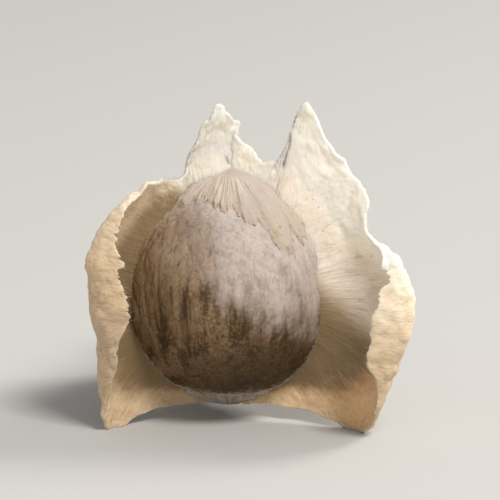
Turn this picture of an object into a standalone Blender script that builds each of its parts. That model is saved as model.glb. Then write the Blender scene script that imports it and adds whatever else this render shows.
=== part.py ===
"""A moringa seed: a round brown hull gripped by three cream wings, standing on the lower ends of the wings.

Metres, +Z up. The seed's axis is upright, the surface that it stands on is z = 0, and the origin is under the
middle of the seed's outline as seen from above.
"""

import math

import bmesh
import bpy
from mathutils import Vector, noise

MM = 0.001

# The hull: a globe, a little taller than wide, with a low rib under each wing.
HULL_RADIUS = 4.42 * MM
HULL_HALF_HEIGHT = 4.50 * MM
HULL_MIDDLE_Z = 5.35 * MM
RIB_HEIGHT = 0.22 * MM
RIB_WIDTH = math.radians(13)
RELIEF_HEIGHT = 0.10 * MM
RELIEF_SCALE = 2.2
HULL_SIDES = 48
HULL_RINGS = 28

# The wings: thin blades whose roots start under the hull's skin, where the hull then cuts them off.
ROOT_DEPTH = 0.60 * MM
ROOT_THICKNESS = 1.20 * MM
RIM_THICKNESS = 0.62 * MM
THICK_SHARE = 0.45
HULL_CLEARANCE = 0.12 * MM
WAVE_SHARE = 0.13
WAVES = 4.0
TEAR_SHARE = 0.16
TEARS = 15.0
STEPS_ALONG = 46
STEPS_OUT = 9

# The block whose top is the ground: it trims the feet of the wings flat.
GROUND_SIDE = 40.0 * MM
GROUND_DEPTH = 10.0 * MM

# Edges sharper than this stay sharp where a piece is shaded smooth.
HULL_SHARP_ANGLE = math.radians(40)
WING_SHARP_ANGLE = math.radians(45)

# The pale pads in which the wings meet, over the hull and under it. A pad hugs the hull and runs out to a
# thin edge, further out under each wing.
TOP_PAD = {"pole": 1, "spread": math.radians(19), "lobe": math.radians(11), "height": 0.75 * MM}
FOOT_PAD = {"pole": -1, "spread": math.radians(17), "lobe": math.radians(8), "height": 0.55 * MM}
PAD_DEPTH = 0.30 * MM
LOBE_WIDTH = math.radians(26)
PAD_SIDES = 36
PAD_RINGS = 10

# Each wing from under the hull to its top. A station holds the angle of the root from the top of the hull in
# degrees, the furthest reach of the wing as a radius and a height above the hull's middle in mm, how far the
# curl bulges sideways in mm, and the turn of the curl in degrees. Azimuth is in degrees from +X, and side is
# the way the wing curls: 1 is anticlockwise from above. A root past the top of the hull has an angle under 0.
WINGS = {
    "left_wing": {
        "azimuth": -160,
        "side": 1,
        "stations": [
            (172, 0.7, -4.90, 0.4, 30),
            (152, 2.6, -4.80, 0.7, 40),
            (137, 4.3, -5.05, 1.0, 55),
            (124, 5.7, -5.50, 1.2, 75),
            (110, 6.0, -3.60, 1.4, 115),
            (96, 6.3, -1.10, 1.5, 145),
            (82, 6.6, 0.90, 1.5, 150),
            (66, 6.4, 2.60, 1.4, 140),
            (50, 5.2, 4.20, 1.2, 115),
            (36, 3.6, 4.90, 0.8, 85),
            (27, 2.1, 5.00, 0.6, 50),
            (19, 1.6, 6.60, 1.1, 55),
            (10, 0.8, 8.00, 1.6, 60),
            (0, -0.4, 7.10, 1.0, 50),
        ],
    },
    "right_wing": {
        "azimuth": -22,
        "side": -1,
        "stations": [
            (172, 0.7, -4.90, 0.4, 30),
            (151, 2.7, -4.80, 0.8, 40),
            (136, 4.6, -5.05, 1.2, 55),
            (123, 6.2, -5.50, 1.5, 75),
            (111, 7.3, -4.10, 1.7, 105),
            (99, 8.3, -2.00, 1.8, 130),
            (87, 8.8, 0.20, 1.7, 135),
            (75, 8.0, 2.00, 1.4, 120),
            (63, 6.6, 3.10, 1.1, 90),
            (53, 6.4, 4.40, 0.9, 60),
            (44, 5.2, 5.90, 0.7, 45),
            (36, 3.5, 8.20, 0.6, 30),
            (28, 2.6, 6.30, 0.5, 25),
            (19, 1.9, 5.60, 0.4, 20),
            (10, 1.0, 6.10, 0.3, 20),
            (2, 0.0, 7.10, 0.3, 20),
        ],
    },
    "back_wing": {
        "azimuth": 92,
        "side": 1,
        "stations": [
            (172, 0.7, -4.90, 0.4, 30),
            (151, 2.7, -4.80, 0.8, 40),
            (136, 4.4, -5.00, 1.1, 50),
            (122, 5.9, -5.50, 1.4, 65),
            (110, 7.1, -4.10, 1.8, 85),
            (98, 8.0, -1.80, 2.0, 110),
            (86, 7.9, 0.40, 2.0, 110),
            (70, 7.1, 2.40, 1.8, 100),
            (54, 5.8, 4.00, 1.5, 85),
            (40, 4.2, 5.10, 1.2, 65),
            (28, 2.6, 6.00, 0.9, 45),
            (16, 1.1, 6.40, 0.6, 30),
            (4, -0.3, 5.70, 0.3, 20),
        ],
    },
}


def clear_scene():
    for old in list(bpy.data.objects):
        bpy.data.objects.remove(old, do_unlink=True)


def finish_material(name, colour, roughness):
    material = bpy.data.materials.new(name)
    material.use_nodes = True
    shader = material.node_tree.nodes["Principled BSDF"]
    shader.inputs["Base Color"].default_value = (*colour, 1.0)
    shader.inputs["Roughness"].default_value = roughness
    shader.inputs["Metallic"].default_value = 0.0
    return material


def hull_finish():
    return finish_material("hull_skin", (0.13, 0.075, 0.045), 0.72)


def wing_finish():
    return finish_material("wing_paper", (0.72, 0.58, 0.40), 0.85)


def nearness_to_wings(azimuth, width):
    """1 on a wing's azimuth, falling to 0 away from it."""
    near = 0.0
    for wing in WINGS.values():
        turn = (azimuth - math.radians(wing["azimuth"]) + math.pi) % (2 * math.pi) - math.pi
        near += math.exp(-((turn / width) ** 2))
    return near


def hull_surface(direction, clearance=0.0):
    """The hull's skin in this direction from the hull's middle, or a shell that clears it."""
    azimuth = math.atan2(direction.y, direction.x)
    rib = RIB_HEIGHT * nearness_to_wings(azimuth, RIB_WIDTH) * math.hypot(direction.x, direction.y)
    relief = RELIEF_HEIGHT * noise.noise(direction * RELIEF_SCALE)
    skin = rib + relief + clearance
    return Vector((
        direction.x * (HULL_RADIUS + skin),
        direction.y * (HULL_RADIUS + skin),
        direction.z * (HULL_HALF_HEIGHT + skin) + HULL_MIDDLE_Z,
    ))


def object_from(name, shape):
    mesh = bpy.data.meshes.new(name)
    shape.to_mesh(mesh)
    shape.free()
    piece = bpy.data.objects.new(name, mesh)
    bpy.context.scene.collection.objects.link(piece)
    return piece


def globe(name, clearance=0.0):
    """The hull as a closed ball, or one that clears it."""
    shape = bmesh.new()
    bmesh.ops.create_uvsphere(shape, u_segments=HULL_SIDES, v_segments=HULL_RINGS, radius=1.0)
    for corner in shape.verts:
        corner.co = hull_surface(corner.co.normalized(), clearance)
    bmesh.ops.triangulate(shape, faces=shape.faces)
    return object_from(name, shape)


def station_at(stations, along):
    """The wing's five values at a share of its length, on a smooth curve through its stations."""
    place = along * (len(stations) - 1)
    first = min(int(place), len(stations) - 2)
    share = place - first
    near = [stations[min(max(first + step, 0), len(stations) - 1)] for step in (-1, 0, 1, 2)]
    values = []
    for before, start, end, after in zip(*near):
        slope_in = (end - before) / 2
        slope_out = (after - start) / 2
        bend = 3 * (end - start) - 2 * slope_in - slope_out
        ease = slope_in + slope_out - 2 * (end - start)
        values.append(start + share * (slope_in + share * (bend + share * ease)))
    return values


def wing_sheet(wing, along, out):
    """A point of the wing's middle sheet: along runs from under the hull to its top, out from root to rim."""
    root_angle, reach, height, bulge, turn = station_at(wing["stations"], along)
    azimuth = math.radians(wing["azimuth"])
    outward = Vector((math.cos(azimuth), math.sin(azimuth), 0.0))
    sideways = Vector((-outward.y, outward.x, 0.0)) * wing["side"]

    polar = math.radians(root_angle)
    skin = outward * math.sin(polar) + Vector((0.0, 0.0, math.cos(polar)))
    root = hull_surface(skin) - skin * ROOT_DEPTH
    rim = outward * (reach * MM) + Vector((0.0, 0.0, height * MM + HULL_MIDDLE_Z))

    curl = math.radians(turn)
    torn = 1.0 - TEAR_SHARE * abs(noise.noise(Vector((along * TEARS, wing["azimuth"], 0.0))))
    swept = curl * out * torn
    furthest = math.sin(min(curl, math.pi / 2))
    wave = WAVE_SHARE * out * out * math.sin(2 * math.pi * WAVES * along + azimuth)
    across = bulge * MM * (1 - math.cos(swept) + wave)
    return root + (rim - root) * (math.sin(swept) / furthest) + sideways * across


def blade(name, wing):
    """One wing as a closed blade, thick at its root and thin at its rim."""
    shape = bmesh.new()
    bmesh.ops.create_grid(shape, x_segments=STEPS_ALONG, y_segments=STEPS_OUT, size=0.5)
    outs = {}
    for corner in shape.verts:
        along, out = corner.co.x + 0.5, corner.co.y + 0.5
        outs[corner.index] = out
        corner.co = wing_sheet(wing, along, out)
    bmesh.ops.triangulate(shape, faces=shape.faces, quad_method="FIXED")
    piece = object_from(name, shape)

    thick = piece.vertex_groups.new(name="thick")
    for index, out in outs.items():
        thick.add([index], max(0.0, 1.0 - out / THICK_SHARE) ** 2, "REPLACE")
    wall = piece.modifiers.new("wall", "SOLIDIFY")
    wall.thickness = ROOT_THICKNESS
    wall.offset = 0.0
    wall.vertex_group = "thick"
    wall.thickness_vertex_group = RIM_THICKNESS / ROOT_THICKNESS
    wall.use_quality_normals = True
    apply_modifiers(piece)
    return piece


def pad(name, form):
    """A lens over one pole of the hull: its outer face domed, its inner face under the hull's skin."""
    shape = bmesh.new()
    bmesh.ops.create_uvsphere(shape, u_segments=PAD_SIDES, v_segments=PAD_RINGS, radius=1.0)
    for corner in shape.verts:
        unit = corner.co.normalized()
        azimuth = math.atan2(unit.y, unit.x)
        spread = form["spread"] + form["lobe"] * nearness_to_wings(azimuth, LOBE_WIDTH)
        polar = spread * math.hypot(unit.x, unit.y)
        lift = unit.z * (form["height"] if unit.z > 0 else PAD_DEPTH)
        flat = math.sin(polar)
        direction = Vector((flat * math.cos(azimuth), flat * math.sin(azimuth), form["pole"] * math.cos(polar)))
        corner.co = hull_surface(direction, lift)
    bmesh.ops.triangulate(shape, faces=shape.faces)
    bmesh.ops.recalc_face_normals(shape, faces=shape.faces)
    return object_from(name, shape)


def ground_block():
    shape = bmesh.new()
    bmesh.ops.create_cube(shape, size=1.0)
    bmesh.ops.scale(shape, vec=(GROUND_SIDE, GROUND_SIDE, GROUND_DEPTH), verts=shape.verts)
    bmesh.ops.translate(shape, vec=(0.0, 0.0, -GROUND_DEPTH / 2), verts=shape.verts)
    return object_from("ground_block", shape)


def apply_modifiers(piece):
    """Makes the piece's mesh what its modifiers show, and drops them."""
    shown = piece.evaluated_get(bpy.context.evaluated_depsgraph_get())
    mesh = bpy.data.meshes.new_from_object(shown)
    piece.modifiers.clear()
    piece.data = mesh


def cut(piece, tool):
    """Takes the tool's volume out of the piece and removes the tool."""
    step = piece.modifiers.new("cut", "BOOLEAN")
    step.operation = "DIFFERENCE"
    step.object = tool
    apply_modifiers(piece)
    bpy.data.objects.remove(tool, do_unlink=True)


def joined(name, pieces):
    """One body from pieces that overlap."""
    first, others = pieces[0], bpy.data.collections.new("others")
    bpy.context.scene.collection.children.link(others)
    for piece in pieces[1:]:
        bpy.context.scene.collection.objects.unlink(piece)
        others.objects.link(piece)
    step = first.modifiers.new("join", "BOOLEAN")
    step.operation = "UNION"
    step.operand_type = "COLLECTION"
    step.collection = others
    step.use_self = True
    apply_modifiers(first)
    for piece in pieces[1:]:
        bpy.data.objects.remove(piece, do_unlink=True)
    bpy.data.collections.remove(others)
    first.name = name
    return first


def make_wings():
    """The three wings and their two pads as one body, cut clear of the hull and flat on the ground."""
    blades = [blade(name, wing) for name, wing in WINGS.items()]
    wings = joined("seed_wings", [*blades, pad("top_pad", TOP_PAD), pad("foot_pad", FOOT_PAD)])
    cut(wings, globe("hull_room", HULL_CLEARANCE))
    cut(wings, ground_block())
    return wings


def centre_on_origin(pieces):
    """Moves the meshes so that the seed's outline from above is centred on the origin."""
    corners = [vertex.co for piece in pieces for vertex in piece.data.vertices]
    middle = [(min(c[axis] for c in corners) + max(c[axis] for c in corners)) / 2 for axis in (0, 1)]
    for piece in pieces:
        for vertex in piece.data.vertices:
            vertex.co -= Vector((*middle, 0.0))


def shade(piece, material, sharp_angle):
    piece.data.materials.clear()
    piece.data.materials.append(material)
    piece.data.shade_smooth()
    piece.data.set_sharp_from_angle(angle=sharp_angle)


clear_scene()
hull = globe("seed_hull")
wings = make_wings()
centre_on_origin([hull, wings])
shade(hull, hull_finish(), HULL_SHARP_ANGLE)
shade(wings, wing_finish(), WING_SHARP_ANGLE)
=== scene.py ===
"""The looks of a moringa seed: a mottled corky hull, three torn papery wings round it, and the pale tissue
where they meet. Metres, +Z up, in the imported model's frame. The camera looks along +Y."""

import math
import random

import bmesh
import bpy
from mathutils import Matrix, Vector, noise


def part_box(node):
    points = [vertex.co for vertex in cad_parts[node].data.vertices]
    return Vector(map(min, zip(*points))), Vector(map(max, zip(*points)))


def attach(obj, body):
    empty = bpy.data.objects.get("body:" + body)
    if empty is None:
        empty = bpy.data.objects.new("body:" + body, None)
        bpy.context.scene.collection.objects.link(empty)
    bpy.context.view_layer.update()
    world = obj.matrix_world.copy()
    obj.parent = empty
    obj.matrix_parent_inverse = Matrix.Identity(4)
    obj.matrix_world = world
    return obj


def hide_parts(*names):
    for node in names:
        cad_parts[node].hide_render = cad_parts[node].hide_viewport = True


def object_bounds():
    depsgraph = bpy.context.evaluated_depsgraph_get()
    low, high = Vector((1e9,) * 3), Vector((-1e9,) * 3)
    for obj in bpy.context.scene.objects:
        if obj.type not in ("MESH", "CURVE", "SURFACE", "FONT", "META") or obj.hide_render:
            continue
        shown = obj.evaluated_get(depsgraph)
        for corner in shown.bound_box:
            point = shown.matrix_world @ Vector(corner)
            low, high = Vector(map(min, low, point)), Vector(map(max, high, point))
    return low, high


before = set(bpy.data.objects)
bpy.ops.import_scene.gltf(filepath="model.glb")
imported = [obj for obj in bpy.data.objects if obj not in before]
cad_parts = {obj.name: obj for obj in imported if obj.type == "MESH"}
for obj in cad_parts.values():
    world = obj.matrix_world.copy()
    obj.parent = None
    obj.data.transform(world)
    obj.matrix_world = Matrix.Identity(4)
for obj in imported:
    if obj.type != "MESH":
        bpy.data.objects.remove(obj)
cad_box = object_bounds()


# The hull is the round body of the seed: a dry, corky skin about the kernel, with low ribs under the wings.
# It grew in one with the wings, and it is fissured from pole to pole and dulled by a greyish bloom, which its
# material paints brightest on its upper right as a painted highlight.
MM = 0.001
HULL_RADIUS = 4.42 * MM
HULL_HALF_HEIGHT = 4.50 * MM
HULL_FINENESS = 7
RELIEF_HEIGHT = 0.10 * MM
RELIEF_SCALE = 2.2
WING_AZIMUTHS = {"left_wing": -160, "right_wing": -22, "back_wing": 92}
RIB_HEIGHT = 0.22 * MM
RIB_WIDTH = math.radians(13)
RIB_STAIN_WIDTH = math.radians(11)
FISSURE_DEPTH = 0.055 * MM
FISSURE_STRETCH = Vector((6.0, 6.0, 1.3))
FISSURE_SHARPNESS = 3.4
FISSURE_WANDER = 0.6
WANDER_SCALE = 2.5
WANDER_LAYERS = (10.0, 20.0, 30.0)
PIT_DEPTH = 0.022 * MM
PIT_SHARPNESS = 3.0
PITS_ACROSS = 8.0
GRAIN_DEPTH = 0.008 * MM
GRAIN_SCALE = 13.0

# A rough noise's fall-off, how much finer each of its octaves is than the last, and how many it has.
SKIN_OCTAVES = (0.8, 2.1, 4)
EDGE_OCTAVES = (0.45, 2.3, 6)

# The pale pads at the poles, whose film runs out over the skin. Spread, lobe and reach are degrees from the
# pole: how far a pad runs everywhere, how much further along each wing, and how much further on one side.
PADS = {
    "crown_pad": {
        "pole": 1, "height": 0.62 * MM, "spread": 21, "lobe": 14, "reach": 28, "side": -52, "width": 42,
    },
    "foot_pad": {
        "pole": -1, "height": 0.50 * MM, "spread": 17, "lobe": 8, "reach": 6, "side": 30, "width": 40,
    },
}
LOBE_WIDTH = math.radians(26)
RAGGED = 0.20
RAGGED_SCALE = 3.2
FILM_FADE = math.radians(24)


def nearness(azimuth, degrees, width):
    """1 on this bearing from the seed's axis, falling to 0 away from it."""
    turn = (azimuth - math.radians(degrees) + math.pi) % (2 * math.pi) - math.pi
    return math.exp(-((turn / width) ** 2))


def nearness_to_wings(azimuth, width):
    """1 on a wing's bearing, falling to 0 away from it."""
    return sum(nearness(azimuth, degrees, width) for degrees in WING_AZIMUTHS.values())


def hull_form(direction, lift=0.0):
    """The hull's smooth form in this direction from its middle, or a shell over it."""
    azimuth = math.atan2(direction.y, direction.x)
    rib = RIB_HEIGHT * nearness_to_wings(azimuth, RIB_WIDTH) * math.hypot(direction.x, direction.y)
    skin = rib + RELIEF_HEIGHT * noise.noise(direction * RELIEF_SCALE) + lift
    return Vector((
        direction.x * (HULL_RADIUS + skin),
        direction.y * (HULL_RADIUS + skin),
        direction.z * (HULL_HALF_HEIGHT + skin),
    ))


def hull_grain(direction):
    """How far the grain sinks the skin: fissures that run from pole to pole, pits, and a fine roughness."""
    places = [direction * WANDER_SCALE + Vector((0.0, 0.0, layer)) for layer in WANDER_LAYERS]
    wander = FISSURE_WANDER * Vector(noise.noise(place) for place in places)
    ridge = abs(noise.noise(direction * FISSURE_STRETCH + wander))
    fissure = max(0.0, 1.0 - FISSURE_SHARPNESS * ridge)
    pit = max(0.0, 1.0 - PIT_SHARPNESS * noise.voronoi(direction * PITS_ACROSS)[0][0])
    rough = noise.fractal(direction * GRAIN_SCALE, *SKIN_OCTAVES)
    return FISSURE_DEPTH * fissure ** 2 + PIT_DEPTH * pit ** 2 - GRAIN_DEPTH * rough


def pad_spread(form, azimuth):
    """The angle from the pole at which the ragged edge of the pale tissue lies."""
    spread = form["spread"] + form["lobe"] * nearness_to_wings(azimuth, LOBE_WIDTH)
    spread += form["reach"] * nearness(azimuth, form["side"], math.radians(form["width"]))
    circle = Vector((math.cos(azimuth), math.sin(azimuth), form["pole"]))
    return math.radians(spread) * (1.0 + RAGGED * noise.fractal(circle * RAGGED_SCALE, *EDGE_OCTAVES))


def film_left(direction):
    """How much of the pale tissue's film is left on the skin: 1 at a pad's edge, 0 a little way past it."""
    azimuth = math.atan2(direction.y, direction.x)
    left = 0.0
    for form in PADS.values():
        past = math.acos(max(-1.0, min(1.0, direction.z * form["pole"]))) - pad_spread(form, azimuth)
        left = max(left, 1.0 - max(0.0, past) / FILM_FADE)
    return left


def box_of(points):
    """Lowest and highest corner of some points."""
    return [Vector(pick(p[axis] for p in points) for axis in range(3)) for pick in (min, max)]


def finished(name, shape):
    """An object at the origin from a bmesh, smooth, with its faces pointing out."""
    bmesh.ops.recalc_face_normals(shape, faces=shape.faces)
    mesh = bpy.data.meshes.new(name)
    shape.to_mesh(mesh)
    shape.free()
    mesh.shade_smooth()
    piece = bpy.data.objects.new(name, mesh)
    bpy.context.scene.collection.objects.link(piece)
    return piece


shape = bmesh.new()
bmesh.ops.create_icosphere(shape, subdivisions=HULL_FINENESS, radius=1.0)
directions = [corner.co.normalized() for corner in shape.verts]
plain = box_of([hull_form(direction) for direction in directions])
HULL_MIDDLE = (sum(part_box("seed_hull"), Vector()) - sum(plain, Vector())) / 2
rib = shape.verts.layers.float.new("rib")
film = shape.verts.layers.float.new("film")
for corner, direction in zip(shape.verts, directions):
    corner.co = HULL_MIDDLE + hull_form(direction, -hull_grain(direction))
    corner[rib] = nearness_to_wings(math.atan2(direction.y, direction.x), RIB_STAIN_WIDTH)
    corner[film] = film_left(direction)
hull = finished("hull", shape)


class Paint:
    """A value or colour in a material's nodes. Values take + - and *, and mix() blends colours."""

    def __init__(self, tree, socket=None):
        self.tree = tree
        self.socket = socket

    def node(self, kind, settings=None, inputs=None, output=0):
        """Adds a node, sets it up, joins its inputs, and gives one of its outputs."""
        made = self.tree.nodes.new(kind)
        for name, value in (settings or {}).items():
            setattr(made, name, value)
        for name, value in (inputs or {}).items():
            if isinstance(value, Paint):
                self.tree.links.new(value.socket, made.inputs[name])
            else:
                made.inputs[name].default_value = value
        return Paint(self.tree, made.outputs[output])

    def maths(self, operation, first, second):
        """One step of arithmetic on two values."""
        return self.node("ShaderNodeMath", {"operation": operation}, {0: first, 1: second})

    def __add__(self, other):
        return self.maths("ADD", self, other)

    def __sub__(self, other):
        return self.maths("SUBTRACT", self, other)

    def __rsub__(self, other):
        return self.maths("SUBTRACT", other, self)

    def __mul__(self, other):
        return self.maths("MULTIPLY", self, other)

    __radd__ = __add__
    __rmul__ = __mul__

    def swayed(self, pattern, by):
        """This value moved up and down by a pattern whose values lie about 0.5."""
        return self + (pattern - 0.5) * by

    def clear(self, low, high):
        """0 below low, 1 above high, with an even, soft change between them."""
        settings = {"interpolation_type": "SMOOTHSTEP"}
        return self.node("ShaderNodeMapRange", settings, {"Value": self, "From Min": low, "From Max": high})

    def mix(self, first, second):
        """A blend of two colours by this value."""
        first, second = [(*c, 1.0) if isinstance(c, tuple) else c for c in (first, second)]
        settings = {"data_type": "RGBA"}
        return self.node("ShaderNodeMix", settings, {0: self, 6: first, 7: second}, output=2)

    def coated(self, colour, where, share):
        """This colour under a coat of another, which covers up to this share of it where the mask says."""
        return (where * share).mix(self, colour)

    def grain(self, scale, detail=4.0, roughness=0.6, **more):
        """Noise on this vector, as a value about 0.5."""
        inputs = {"Vector": self, "Scale": scale, "Detail": detail, "Roughness": roughness, **more}
        return self.node("ShaderNodeTexNoise", {}, inputs)

    def stretched(self, scale, offset=(0.0, 0.0, 0.0)):
        """This vector scaled and moved."""
        return self.node("ShaderNodeMapping", {}, {"Vector": self, "Scale": scale, "Location": offset})

    def along(self, direction):
        """How far this vector reaches in a direction."""
        inputs = {0: self, 1: tuple(Vector(direction).normalized())}
        return self.node("ShaderNodeVectorMath", {"operation": "DOT_PRODUCT"}, inputs, output="Value")

    def attribute(self, name, output="Fac"):
        """What the mesh holds under this name at each of its corners."""
        return self.node("ShaderNodeAttribute", {"attribute_name": name}, output=output)

    def raised(self, strength, distance):
        """The surface's normal where this value lifts it."""
        return self.node("ShaderNodeBump", {}, {"Height": self, "Strength": strength, "Distance": distance})


DRY_SHEEN = 0.18


def new_material(name):
    """A material and its shader."""
    material = bpy.data.materials.new(name)
    material.use_nodes = True
    return material, material.node_tree.nodes["Principled BSDF"]


def painted(material, shader, looks):
    """The material of a dry, dull surface, with what varies over it joined to its shader."""
    for name, value in looks.items():
        material.node_tree.links.new(value.socket, shader.inputs[name])
    shader.inputs["Specular IOR Level"].default_value = DRY_SHEEN
    return material


def millimetres(paint):
    """Object coordinates in mm from the hull's middle."""
    place = paint.node("ShaderNodeTexCoord", output="Object")
    return place.stretched((1 / MM,) * 3, tuple(-HULL_MIDDLE / MM))


DARK_BARK = (0.060, 0.033, 0.013)
CHOCOLATE = (0.140, 0.081, 0.036)
WALNUT = (0.290, 0.190, 0.106)
RUSSET = (0.20, 0.105, 0.060)
BLOOM_AND_HIGHLIGHT = (0.520, 0.447, 0.412)
FILM = (0.545, 0.48, 0.435)
# The sides where the bloom with its painted highlight, the painted fill light and the painted shade lie.
BLOOM_AND_HIGHLIGHT_SIDE = (0.50, -0.45, 0.95)
PAINTED_FILL_SIDE = (-0.80, -0.40, 0.45)
PAINTED_SHADE_SIDE = (0.35, -0.35, -0.87)
SIDE_SWAY = 0.8

# The noises in the bark, and how three of its patterns are drawn out from pole to pole.
STREAKS = {"scale": 1.6, "detail": 6.0, "roughness": 0.60, "Distortion": 0.35}
CRACKS = {"scale": 4.2, "detail": 5.0, "roughness": 0.70, "Distortion": 0.6}
MOTTLE = {"scale": 0.55, "detail": 3.0}
RUSSET_PATCHES = {"scale": 0.8, "detail": 2.0}
BARK_SPECKS = {"scale": 7.0, "detail": 3.0, "roughness": 0.7}
STREAK_STRETCH = (1.0, 1.0, 0.25)
CRACK_STRETCH = (1.0, 1.0, 0.14)
NET_STRETCH = (1.0, 1.0, 0.55)
NET_SCALE = 2.6

# The range of a pattern's value over which its colour comes in.
CHOCOLATE_FROM = (0.38, 0.62)
WALNUT_FROM = (0.42, 0.66)
RUSSET_FROM = (0.52, 0.68)
SIDE_FROM = (0.50, 0.95)
CRACK_FROM = (0.53, 0.65)
NET_LINE = (0.0, 0.08)
NET_GROOVE = (0.0, 0.16)
BLOOM_AND_HIGHLIGHT_FROM = (0.15, 0.93)
RIB_FILM_FROM = (0.45, 0.95)
FLAKE_FROM = (0.35, 1.05)
BARK_BUMP = 0.10 * MM


def hull_skin():
    """Chocolate to walnut bark, darkest in its fissures, greyed on its upper right by bloom with a painted
    highlight, with painted shade low on the front right and painted fill light lifting its left to walnut.
    """
    material, shader = new_material("hull_skin")
    paint = Paint(material.node_tree)
    place = millimetres(paint)
    streaks = place.stretched(STREAK_STRETCH).grain(**STREAKS)
    mottle = place.grain(**MOTTLE)
    specks = place.grain(**BARK_SPECKS)
    cracks = place.stretched(CRACK_STRETCH).grain(**CRACKS).clear(*CRACK_FROM)
    net = place.node(
        "ShaderNodeTexVoronoi", {"feature": "DISTANCE_TO_EDGE"},
        {"Vector": place.stretched(NET_STRETCH), "Scale": NET_SCALE, "Randomness": 1.0}, output="Distance",
    )
    radii = place.stretched((MM / HULL_RADIUS,) * 3)
    # Painted shade: the bark is darkened low on the front right, where a shadow falls.
    painted_shade = radii.along(PAINTED_SHADE_SIDE).swayed(streaks, by=SIDE_SWAY).clear(*SIDE_FROM)
    # Painted fill light: the left side, which the lamps leave in shade, is lifted to walnut.
    painted_fill = radii.along(PAINTED_FILL_SIDE).swayed(streaks, by=SIDE_SWAY).clear(*SIDE_FROM)
    # Bloom with a painted highlight: the greyish bloom is painted brightest on the upper right, where the
    # light falls on the hull.
    bloom_and_highlight = radii.along(BLOOM_AND_HIGHLIGHT_SIDE).swayed(mottle, by=1.0).swayed(streaks, by=0.9).clear(*BLOOM_AND_HIGHLIGHT_FROM)
    # The share of the bloom and its painted highlight: less on the painted-fill side and in the cracks,
    # broken by specks.
    worn = (0.60 + specks * 0.55) * (1.0 - painted_fill * 0.7) * (1.0 - cracks * 0.25)
    ribs = paint.attribute("rib").swayed(streaks, by=1.4).swayed(specks, by=0.8).clear(*RIB_FILM_FROM)
    flakes = paint.attribute("film").swayed(streaks, by=1.3).swayed(specks, by=0.9).clear(*FLAKE_FROM)

    bark = (streaks * 0.7 + mottle * 0.3).clear(*CHOCOLATE_FROM).mix(DARK_BARK, CHOCOLATE)
    bark = (streaks * 0.5 + specks * 0.5).clear(*WALNUT_FROM).mix(bark, WALNUT)
    bark = bark.coated(RUSSET, place.grain(**RUSSET_PATCHES).clear(*RUSSET_FROM), share=0.6)
    # Painted shade low on the front right.
    bark = bark.coated(DARK_BARK, painted_shade, share=0.75)
    # Painted fill light on the left.
    bark = bark.coated(WALNUT, painted_fill, share=0.72)
    bark = bark.coated(DARK_BARK, cracks, share=0.60)
    bark = bark.coated(DARK_BARK, 1.0 - net.clear(*NET_LINE), share=0.35)
    # Bloom with a painted highlight on the upper right.
    bark = bark.coated(BLOOM_AND_HIGHLIGHT, bloom_and_highlight, share=worn)
    bark = bark.coated(FILM, ribs, share=0.75)
    bark = bark.coated(FILM, flakes, share=0.85 - painted_fill * 0.55)
    relief = streaks * 0.4 + net.clear(*NET_GROOVE) * 0.2 + specks * 0.25 - cracks * 0.25
    return painted(material, shader, {
        "Base Color": bark,
        "Roughness": 0.88 - bloom_and_highlight * 0.12 - specks * 0.14,
        "Normal": relief.raised(strength=0.45, distance=BARK_BUMP),
    })


hull.data.materials.append(hull_skin())
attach(hull, "root")
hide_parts("seed_hull")


# The wings are sheets of dry, spongy tissue, thick where they root along the hull's ribs and papery at their
# torn rims. Each grew as one sheet, curled round on itself as it dried, and split along its fibres.
ROOT_DEPTH = 0.60 * MM
ROOT_THICKNESS = 2.00 * MM
RIM_THICKNESS = 0.14 * MM
THICK_SHARE = 0.45
THICK_WEIGHT = 0.55
THICK_FALL = 1.5
FLARE_SHARE = 0.07
FLARE_WEIGHT = 0.45
WAVE_SHARE = 0.13
WAVES = 4.0
COLUMNS = 380
ROWS = 84

# The torn rim. A share is of the sheet's width, and the counts are along its length. Each kind of damage
# reads a layer of its own in the noise.
TEAR_SHARE = 0.16
TEARS = 15.0
TEAR_LAYER = 0.0
FRAY_SHARE = 0.07
FRAYS = 30.0
FRAY_LAYER = 3.0
FRAY_OCTAVES = (0.6, 2.3, 5)
SPLIT_SHARE = 0.75
SPLITS = 52.0
SPLIT_LAYER = 6.0
SPLIT_FROM = 0.42
ROUGH_RUNS = 5.0
ROUGH_LAYER = 12.0
ROUGH_GAIN = 1.6

# The crinkles that a sheet dried into: broad buckles, sharp creases, and pleats that run along its fibres.
BUCKLE = 0.24 * MM
BUCKLE_SCALE = 0.55
BUCKLE_OCTAVES = (0.9, 2.1, 4)
CREASE = 0.15 * MM
CREASE_SCALE = 1.05
CREASE_LEVEL = 0.25
FINE_CREASE = 0.5
FINER_CREASES = 2.3
PLEAT = 0.055 * MM
PLEATS = 62.0
PLEAT_BREAKS = 2.5
FINE_PLEAT = 0.45
FINER_PLEATS = 2.7
FINE_PLEAT_BREAKS = 6.0
FINE_PLEAT_LAYER = 9.0

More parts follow.
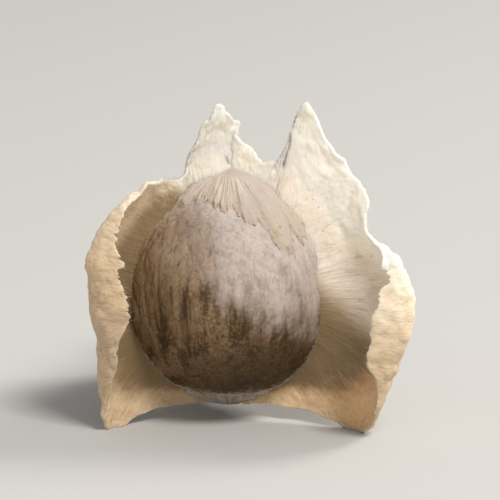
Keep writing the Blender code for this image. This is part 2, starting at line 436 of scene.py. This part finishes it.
# Each wing from under the hull to its top. A station holds the angle of the root from the hull's top in
# degrees, the furthest reach of the wing as a radius and a height above the hull's middle in mm, how far
# the curl bulges sideways in mm, and the turn of the curl in degrees. Side 1 curls anticlockwise from above.
WINGS = {
    "left_wing": {
        "side": 1,
        "stations": [
            (172, 0.7, -4.90, 0.4, 30),
            (152, 2.6, -4.80, 0.7, 40),
            (137, 4.3, -5.05, 1.0, 55),
            (124, 5.7, -5.50, 1.2, 75),
            (110, 6.0, -3.60, 1.4, 115),
            (96, 6.3, -1.10, 1.5, 145),
            (82, 6.6, 0.90, 1.5, 150),
            (66, 6.4, 2.60, 1.4, 140),
            (50, 5.2, 4.20, 1.2, 115),
            (36, 3.6, 4.90, 0.8, 85),
            (27, 2.1, 5.00, 0.6, 50),
            (19, 1.6, 6.60, 1.1, 55),
            (10, 0.8, 8.00, 1.6, 60),
            (0, -0.4, 7.10, 1.0, 50),
        ],
    },
    "right_wing": {
        "side": -1,
        "stations": [
            (172, 0.7, -4.90, 0.4, 30),
            (151, 2.7, -4.80, 0.8, 40),
            (136, 4.6, -5.05, 1.2, 55),
            (123, 6.2, -5.50, 1.5, 75),
            (111, 7.3, -4.10, 1.7, 105),
            (99, 8.3, -2.00, 1.8, 130),
            (87, 8.8, 0.20, 1.7, 135),
            (75, 8.0, 2.00, 1.4, 120),
            (63, 6.6, 3.10, 1.1, 90),
            (53, 6.4, 4.40, 0.9, 60),
            (44, 5.2, 5.90, 0.7, 45),
            (36, 3.5, 8.20, 0.6, 30),
            (28, 2.6, 6.30, 0.5, 25),
            (19, 1.9, 5.60, 0.4, 20),
            (10, 1.0, 6.10, 0.3, 20),
            (2, 0.0, 7.10, 0.3, 20),
        ],
    },
    "back_wing": {
        "side": 1,
        "stations": [
            (172, 0.7, -4.90, 0.4, 30),
            (151, 2.7, -4.80, 0.8, 40),
            (136, 4.4, -5.00, 1.1, 50),
            (122, 5.9, -5.50, 1.4, 65),
            (110, 7.1, -4.10, 1.8, 85),
            (98, 8.0, -1.80, 2.0, 110),
            (86, 7.9, 0.40, 2.0, 110),
            (70, 7.1, 2.40, 1.8, 100),
            (54, 5.8, 4.00, 1.5, 85),
            (40, 4.2, 5.10, 1.2, 65),
            (28, 2.6, 6.00, 0.9, 45),
            (16, 1.1, 6.40, 0.6, 30),
            (4, -0.3, 5.70, 0.3, 20),
        ],
    },
}


def station_at(stations, along):
    """The wing's five values at a share of its length, on a smooth curve through its stations."""
    place = along * (len(stations) - 1)
    first = min(int(place), len(stations) - 2)
    share = place - first
    near = [stations[min(max(first + step, 0), len(stations) - 1)] for step in (-1, 0, 1, 2)]
    values = []
    for before, start, end, after in zip(*near):
        slope_in = (end - before) / 2
        slope_out = (after - start) / 2
        bend = 3 * (end - start) - 2 * slope_in - slope_out
        ease = slope_in + slope_out - 2 * (end - start)
        values.append(start + share * (slope_in + share * (bend + share * ease)))
    return values


def left_after_tears(azimuth, along):
    """The share of the sheet's width that its torn rim leaves here."""
    def place(count, layer):
        return Vector((along * count, azimuth, layer))

    rough = min(1.0, max(0.0, 0.5 + ROUGH_GAIN * noise.noise(place(ROUGH_RUNS, ROUGH_LAYER))))
    torn = TEAR_SHARE * abs(noise.noise(place(TEARS, TEAR_LAYER)))
    frayed = FRAY_SHARE * rough * (0.5 + noise.fractal(place(FRAYS, FRAY_LAYER), *FRAY_OCTAVES))
    split = SPLIT_SHARE * rough * max(0.0, noise.noise(place(SPLITS, SPLIT_LAYER)) - SPLIT_FROM)
    return 1.0 - torn - max(0.0, frayed) - split


def wing_sheet(wing, azimuth, along, out):
    """A point of the wing's middle sheet: along runs from under the hull to its top, out from root to rim."""
    root_angle, reach, height, bulge, turn = station_at(wing["stations"], along)
    facing = math.radians(azimuth)
    outward = Vector((math.cos(facing), math.sin(facing), 0.0))
    sideways = Vector((-outward.y, outward.x, 0.0)) * wing["side"]
    polar = math.radians(root_angle)
    skin = outward * math.sin(polar) + Vector((0.0, 0.0, math.cos(polar)))
    root = hull_form(skin) - skin * ROOT_DEPTH
    rim = outward * (reach * MM) + Vector((0.0, 0.0, height * MM))
    curl = math.radians(turn)
    swept = curl * out * left_after_tears(azimuth, along)
    furthest = math.sin(min(curl, math.pi / 2))
    wave = WAVE_SHARE * out * out * math.sin(2 * math.pi * WAVES * along + facing)
    across = bulge * MM * (1 - math.cos(swept) + wave)
    return HULL_MIDDLE + root + (rim - root) * (math.sin(swept) / furthest) + sideways * across


def crinkle(place, along, out, azimuth):
    """How far the dried sheet lifts off its smooth form, none at its root and most at its rim."""
    spot = (place - HULL_MIDDLE) / MM
    buckle = noise.fractal(spot * BUCKLE_SCALE, *BUCKLE_OCTAVES)
    sharp = abs(noise.noise(spot * CREASE_SCALE))
    finer = abs(noise.noise(spot * CREASE_SCALE * FINER_CREASES))
    crease = CREASE_LEVEL - sharp - FINE_CREASE * finer
    pleat = noise.noise(Vector((along * PLEATS, out * PLEAT_BREAKS, azimuth)))
    fine = Vector((along * PLEATS * FINER_PLEATS, out * FINE_PLEAT_BREAKS, azimuth + FINE_PLEAT_LAYER))
    return out * (BUCKLE * buckle + CREASE * crease + PLEAT * (pleat + FINE_PLEAT * noise.noise(fine)))


def cut_at_ground(shape):
    """Cuts the mesh flat where it would pass under the surface that the seed stands on."""
    everything = [*shape.verts, *shape.edges, *shape.faces]
    made = bmesh.ops.bisect_plane(
        shape, geom=everything, plane_co=(0.0, 0.0, 0.0), plane_no=(0.0, 0.0, -1.0), clear_outer=True,
    )
    rim = [e for e in made["geom_cut"] if isinstance(e, bmesh.types.BMEdge)]
    bmesh.ops.triangle_fill(shape, edges=rim, use_beauty=True)


def thicken(sheet, weights):
    """Gives the sheet its two faces, far apart where a weight is 1 and close where it is 0."""
    thick = sheet.vertex_groups.new(name="thick")
    for index, weight in enumerate(weights):
        thick.add([index], weight, "REPLACE")
    wall = sheet.modifiers.new("wall", "SOLIDIFY")
    wall.thickness = ROOT_THICKNESS
    wall.offset = 0.0
    wall.vertex_group = "thick"
    wall.thickness_vertex_group = RIM_THICKNESS / ROOT_THICKNESS
    walled = sheet.evaluated_get(bpy.context.evaluated_depsgraph_get())
    mesh = bpy.data.meshes.new_from_object(walled)
    sheet.modifiers.clear()
    shape = bmesh.new()
    shape.from_mesh(mesh)
    cut_at_ground(shape)
    bmesh.ops.recalc_face_normals(shape, faces=shape.faces)
    shape.to_mesh(mesh)
    shape.free()
    mesh.shade_smooth()
    sheet.data = mesh


IVORY = (0.84, 0.735, 0.60)
CREAM = (0.81, 0.67, 0.51)
PEACH = (0.79, 0.60, 0.45)
STRAW = (0.58, 0.42, 0.26)
TAN = (0.605, 0.445, 0.295)
PALE = (0.975, 0.895, 0.785)
# Ashen bloom with painted light, for the sheet by the root on the lit side.
ASHEN_AND_PAINTED_LIGHT = (0.92, 0.84, 0.76)
# Olive stain by the root, with painted shade in it.
OLIVE_STAIN_AND_SHADE = (0.225, 0.154, 0.074)
FLECK = (0.20, 0.11, 0.055)
CREST_SIDE = (0.35, 0.0, 0.94)
CREST_FROM = (2.8, 4.8)
LIT_SIDE = (0.70, 0.0, 0.71)
LIT_FROM = (1.9, 4.1)
ASHEN_AND_PAINTED_LIGHT_FROM = (2.7, 3.8)
ASHEN_AND_PAINTED_LIGHT_TO = (0.45, 0.75)
RIM_SIDE = (-0.80, 0.0, 0.60)
RIM_FROM = (4.6, 5.6)
TAN_SIDE = (-0.35, 0.0, -0.94)
TAN_FROM = (-5.5, 1.6)

# The noises in the paper, and how two of them are drawn out from root to rim on the flat sheet.
PAPER_FIBRES = {"scale": 1.0, "detail": 4.0, "roughness": 0.65}
PAPER_THREADS = {"scale": 1.0, "detail": 2.0, "roughness": 0.5}
PAPER_CLOUD = {"scale": 0.45, "detail": 3.0}
PAPER_PATCHES = {"scale": 1.1, "detail": 4.0, "roughness": 0.65, "Distortion": 0.6}
PAPER_SPECKS = {"scale": 5.0, "detail": 3.0, "roughness": 0.7}
FIBRE_STRETCH = (120.0, 7.0, 1.0)
THREAD_STRETCH = (420.0, 16.0, 1.0)

# The range of a pattern's value over which its colour comes in.
CLOUD_FROM = (0.35, 0.65)
PEACH_FROM = (0.48, 0.68)
STRAW_FROM = (0.50, 0.70)
THREAD_FROM = (0.45, 0.75)
STAIN_AND_SHADE_TO = (0.26, 0.64)
FLECK_FROM = (0.66, 0.74)
PAPER_BUMP = 0.12 * MM
GLOW_RADIUS = (1.0, 0.82, 0.62)
GLOW_DEPTH = 0.60 * MM
GLOW_SHARE = 0.70


def wing_paper():
    """Ivory and straw tissue, fibred from root to rim, olive-brown by the root as a stain with painted shade
    in it, paled there on the lit side by ashen bloom with painted light, and flecked with brown.
    """
    material, shader = new_material("wing_paper")
    paint = Paint(material.node_tree)
    flat = paint.node("ShaderNodeUVMap", {"uv_map": "sheet"})
    place = millimetres(paint)
    fibres = flat.stretched(FIBRE_STRETCH).grain(**PAPER_FIBRES)
    threads = flat.stretched(THREAD_STRETCH).grain(**PAPER_THREADS)
    cloud = place.grain(**PAPER_CLOUD)
    patches = place.grain(**PAPER_PATCHES)
    specks = place.grain(**PAPER_SPECKS)
    out = flat.node("ShaderNodeSeparateXYZ", {}, {"Vector": flat}, output="Y")
    low = place.along(TAN_SIDE).swayed(cloud, by=4.0).clear(*TAN_FROM)
    crest = place.along(CREST_SIDE).swayed(cloud, by=3.0).clear(*CREST_FROM)
    # Ashen bloom with painted light: the sheet by the root is paled on the lit side, where its own curl
    # shades it.
    ashen_and_painted_light = place.along(LIT_SIDE).clear(*ASHEN_AND_PAINTED_LIGHT_FROM) * (1.0 - out.clear(*ASHEN_AND_PAINTED_LIGHT_TO))
    # The olive by the root is partly a real stain and partly painted shade for the hollows between wing and
    # hull; it is kept off the crest, the lit side and the upper left rim.
    root = 1.0 - out.swayed(patches, by=0.35).swayed(fibres, by=0.30).clear(*STAIN_AND_SHADE_TO)
    clear_of_stain_and_shade = place.along(CREST_SIDE).clear(*CREST_FROM) + place.along(LIT_SIDE).clear(*LIT_FROM)
    clear_of_stain_and_shade = (clear_of_stain_and_shade + place.along(RIM_SIDE).clear(*RIM_FROM)).clear(0.0, 1.0)

    paper = cloud.clear(*CLOUD_FROM).mix(CREAM, IVORY)
    paper = paper.coated(PEACH, patches.clear(*PEACH_FROM), share=0.70)
    paper = paper.coated(TAN, low, share=0.90)
    paper = paper.coated(PALE, crest, share=0.85)
    # Ashen bloom with painted light by the root on the lit side.
    paper = paper.coated(ASHEN_AND_PAINTED_LIGHT, ashen_and_painted_light, share=0.88)
    paper = paper.coated(STRAW, fibres.clear(*STRAW_FROM), share=0.50 - crest * 0.25)
    paper = paper.coated(FLECK, threads.clear(*THREAD_FROM), share=0.10 + low * 0.22 - crest * 0.06)
    # Olive stain with painted shade by the root.
    paper = paper.coated(OLIVE_STAIN_AND_SHADE, root, share=0.90 - clear_of_stain_and_shade * 0.82)
    paper = paper.coated(FLECK, specks.clear(*FLECK_FROM), share=0.6)
    relief = fibres * 0.5 + threads * 0.3 + specks * 0.2
    shader.inputs["Subsurface Weight"].default_value = GLOW_SHARE
    shader.inputs["Subsurface Radius"].default_value = GLOW_RADIUS
    shader.inputs["Subsurface Scale"].default_value = GLOW_DEPTH
    return painted(material, shader, {
        "Base Color": paper,
        "Roughness": 0.92 - fibres * 0.25,
        "Normal": relief.raised(strength=0.9, distance=PAPER_BUMP),
    })


paper = wing_paper()
rims = {}
for name, wing in WINGS.items():
    azimuth = WING_AZIMUTHS[name]
    shape = bmesh.new()
    shape.loops.layers.uv.new("sheet")
    bmesh.ops.create_grid(shape, x_segments=COLUMNS, y_segments=ROWS, size=0.5, calc_uvs=True)
    spots = [(corner.co.x + 0.5, corner.co.y + 0.5) for corner in shape.verts]
    for corner, (along, out) in zip(shape.verts, spots):
        corner.co = wing_sheet(wing, azimuth, along, out)
    shape.normal_update()
    lifts = [crinkle(corner.co, *spot, azimuth) for corner, spot in zip(shape.verts, spots)]
    for corner, lift in zip(shape.verts, lifts):
        corner.co += corner.normal * lift
    row = COLUMNS + 1
    places = [corner.co.copy() for corner in shape.verts]
    two_rows_in = places[-3 * row:-2 * row]
    rims[name] = list(zip(two_rows_in, places[-row:], spots[-row:]))
    sheet = finished(name, shape)
    thicken(sheet, [
        THICK_WEIGHT * max(0.0, 1.0 - out / THICK_SHARE) ** THICK_FALL
        + FLARE_WEIGHT * math.exp(-((out / FLARE_SHARE) ** 2))
        for along, out in spots
    ])
    sheet.data.materials.append(paper)
    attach(sheet, "root")
    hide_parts("seed_wings")


# The rim fibres are the loose ends of the wings' own fibres, left standing where the rims tore. Each is a
# hair finer than a sheet of paper, dry and stiff, and bends a little out of the sheet that it grew in.
FIBRES = 270
FIBRE_LENGTH = (0.08 * MM, 0.38 * MM)
FIBRE_RADIUS = 0.014 * MM
FIBRE_TAPER = 0.72
FIBRE_STEPS = 5
FIBRE_SIDES = 3
FIBRE_BEND = 0.5
LOWEST_FIBRE = 0.5 * MM
CHANCE = 7


def add_fibre(shape, sheet_map, start, way, bend, length, spot):
    """One hair, drawn out of a three-sided end a step at a time, so that it tapers and bends."""
    facing = Matrix.Translation(start) @ way.to_track_quat("Z", "Y").to_matrix().to_4x4()
    end = bmesh.ops.create_circle(
        shape, cap_ends=True, segments=FIBRE_SIDES, radius=FIBRE_RADIUS, matrix=facing,
    )["verts"]
    hair = set(end)
    for step in range(1, FIBRE_STEPS + 1):
        cap = next(face for face in end[0].link_faces if set(face.verts) == set(end))
        drawn = bmesh.ops.extrude_face_region(shape, geom=[cap])["geom"]
        end = [part for part in drawn if isinstance(part, bmesh.types.BMVert)]
        share = step / FIBRE_STEPS
        middle = start + (way * share + bend * share ** 2) * length
        before = sum((corner.co for corner in end), Vector()) / FIBRE_SIDES
        for corner in end:
            corner.co = middle + (corner.co - before) * FIBRE_TAPER
        hair.update(end)
    for corner in hair:
        for loop in corner.link_loops:
            loop[sheet_map].uv = spot


chance = random.Random(CHANCE)
for name, rim in rims.items():
    shape = bmesh.new()
    sheet_map = shape.loops.layers.uv.new("sheet")
    for inner, edge, spot in chance.sample(rim, FIBRES):
        bend = FIBRE_BEND * Vector(chance.uniform(-1.0, 1.0) for axis in range(3))
        length = chance.uniform(*FIBRE_LENGTH)
        if edge.z > LOWEST_FIBRE:
            add_fibre(shape, sheet_map, inner, (edge - inner).normalized(), bend, length, spot)
    fibres = finished(name + "_fibres", shape)
    fibres.data.materials.append(paper)
    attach(fibres, "root")
    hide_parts("seed_wings")


# The pads are the pale tissue in which the wings meet over the hull and under it. They are skins of the
# same dry sponge, grown on to the hull, that thin out to a film with a ragged edge.
PAD_DEPTH = 0.30 * MM
PAD_SIDES = 420
PAD_RINGS = 70
MOUND_FALL = 1.2
RIDGE_HEIGHT = 0.10 * MM
RIDGE_LEVEL = 0.6
RIDGE_RISE = 2.5
RIDGES = 6.0
RIDGE_DRIFT = 0.35
EDGE_STEEPNESS = 14.0
POLE_TISSUE = (0.545, 0.485, 0.425)
EDGE_TISSUE = (0.50, 0.42, 0.36)
PAD_CLOUD = {"scale": 0.6, "detail": 3.0}
PAD_FLAKES = {"scale": 1.8, "detail": 5.0, "roughness": 0.65, "Distortion": 0.8}
PAD_SPECKS = {"scale": 6.0, "detail": 3.0, "roughness": 0.7}
PAD_FIBRES = {"scale": 22.0, "detail": 4.0, "roughness": 0.65}
THIN_FROM = (0.25, 0.95)
WORN_FROM = (0.95, 1.35)
PAD_STRAW_FROM = (0.50, 0.66)
PAD_FLECK_FROM = (0.62, 0.72)


def pad_tissue():
    """The wings' tissue where it lies on the hull: fibres from the pole out, thinning to a greyish film."""
    material, shader = new_material("pad_tissue")
    paint = Paint(material.node_tree)
    place = millimetres(paint)
    flakes = place.grain(**PAD_FLAKES)
    specks = place.grain(**PAD_SPECKS)
    fibres = paint.attribute("ray", "Vector").grain(**PAD_FIBRES)
    edge = paint.attribute("edge")
    thin = edge.swayed(flakes, by=0.9).swayed(fibres, by=0.8).clear(*THIN_FROM)
    worn = edge.swayed(fibres, by=1.6).swayed(specks, by=1.2).clear(*WORN_FROM)

    tissue = place.grain(**PAD_CLOUD).clear(*CLOUD_FROM).mix(POLE_TISSUE, FILM)
    tissue = thin.mix(tissue, EDGE_TISSUE)
    tissue = tissue.coated(STRAW, fibres.clear(*PAD_STRAW_FROM), share=0.45)
    tissue = tissue.coated(WALNUT, worn, share=0.8)
    tissue = tissue.coated(FLECK, specks.clear(*PAD_FLECK_FROM), share=0.6)
    relief = fibres * 0.6 + flakes * 0.2 + specks * 0.2
    return painted(material, shader, {
        "Base Color": tissue,
        "Roughness": 0.92 - specks * 0.2,
        "Normal": relief.raised(strength=0.7, distance=PAPER_BUMP),
    })


def pad_lift(form, share, way):
    """How far the pad stands off the hull: a mound at the pole, and ridges that fan out from it."""
    mound = form["height"] * (1.0 - share) ** MOUND_FALL
    ridges = RIDGE_LEVEL + noise.fractal(way * RIDGES, *SKIN_OCTAVES)
    return mound + RIDGE_HEIGHT * min(1.0, RIDGE_RISE * share) * ridges


tissue = pad_tissue()
for name, form in PADS.items():
    shape = bmesh.new()
    bmesh.ops.create_uvsphere(shape, u_segments=PAD_SIDES, v_segments=PAD_RINGS, radius=1.0)
    edge = shape.verts.layers.float.new("edge")
    ray = shape.verts.layers.float_vector.new("ray")
    for corner in shape.verts:
        unit = corner.co.normalized()
        azimuth = math.atan2(unit.y, unit.x)
        share = math.hypot(unit.x, unit.y)
        polar = pad_spread(form, azimuth) * share
        x, y, flat = math.cos(azimuth), math.sin(azimuth), math.sin(polar)
        direction = Vector((flat * x, flat * y, form["pole"] * math.cos(polar)))
        way = Vector((x, y, RIDGE_DRIFT * share))
        lift = pad_lift(form, share, way) if unit.z > 0 else -PAD_DEPTH
        corner.co = HULL_MIDDLE + hull_form(direction, lift * min(1.0, EDGE_STEEPNESS * (1.0 - share)))
        corner[edge] = share
        corner[ray] = way
    pad = finished(name, shape)
    pad.data.materials.append(tissue)
    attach(pad, "root")
    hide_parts("seed_wings")


# The surface under the seed and the studio round it: a plain pale floor, a broad soft light from the front
# right, one from behind on the right that shines through the wings' rims, and a pale sky.
FLOOR_SIDE = 2.0
FLOOR_DROP = 0.01 * MM
FLOOR_COLOUR = (0.50, 0.497, 0.49)
FLOOR_ROUGHNESS = 0.8
SKY_COLOUR = (1.0, 0.99, 0.97)
SKY_STRENGTH = 0.45
LAMP_SIDE = 0.12
LAMP_COLOUR = (1.0, 0.96, 0.90)
LAMPS = {
    "key": {"from": Vector((0.13, -0.22, 0.31)), "watts": 1.40},
    "rim": {"from": Vector((0.24, 0.13, 0.22)), "watts": 0.72},
}

shape = bmesh.new()
bmesh.ops.create_grid(shape, x_segments=2, y_segments=2, size=FLOOR_SIDE / 2)
bmesh.ops.translate(shape, vec=(0.0, 0.0, -FLOOR_DROP), verts=shape.verts)
floor = finished("floor", shape)
material, shader = new_material("floor")
shader.inputs["Base Color"].default_value = (*FLOOR_COLOUR, 1.0)
shader.inputs["Roughness"].default_value = FLOOR_ROUGHNESS
floor.data.materials.append(material)

sky = bpy.data.worlds.new("sky")
sky.use_nodes = True
sky.node_tree.nodes["Background"].inputs["Color"].default_value = (*SKY_COLOUR, 1.0)
sky.node_tree.nodes["Background"].inputs["Strength"].default_value = SKY_STRENGTH
bpy.context.scene.world = sky
bpy.context.scene.view_settings.view_transform = "Standard"

for name, light in LAMPS.items():
    lamp = bpy.data.lights.new(name, "AREA")
    lamp.size = LAMP_SIDE
    lamp.energy = light["watts"]
    lamp.color = LAMP_COLOUR
    stand = bpy.data.objects.new(name, lamp)
    stand.location = HULL_MIDDLE + light["from"]
    stand.rotation_euler = (-light["from"]).to_track_quat("-Z", "Y").to_euler()
    bpy.context.scene.collection.objects.link(stand)


# The camera stands where the photograph was taken from: in front of the seed, 12 degrees above it. It is
# far enough away, behind a long lens, to keep the seed's proportions true.
ELEVATION = math.radians(12)
LENS = 300.0
SENSOR = 36.0
FRAME_WIDTH = 21.0 * MM
NEAREST_SHARE = 0.1
FURTHEST = 10.0

low, high = cad_box
target = (low + high) / 2
away = FRAME_WIDTH / 2 / (SENSOR / 2 / LENS)
lens = bpy.data.cameras.new("camera")
lens.lens = LENS
lens.sensor_width = SENSOR
lens.clip_start = away * NEAREST_SHARE
lens.clip_end = FURTHEST
camera = bpy.data.objects.new("camera", lens)
camera.location = target + Vector((0.0, -math.cos(ELEVATION), math.sin(ELEVATION))) * away
camera.rotation_euler = (math.pi / 2 - ELEVATION, 0.0, 0.0)
bpy.context.scene.collection.objects.link(camera)
bpy.context.scene.camera = camera
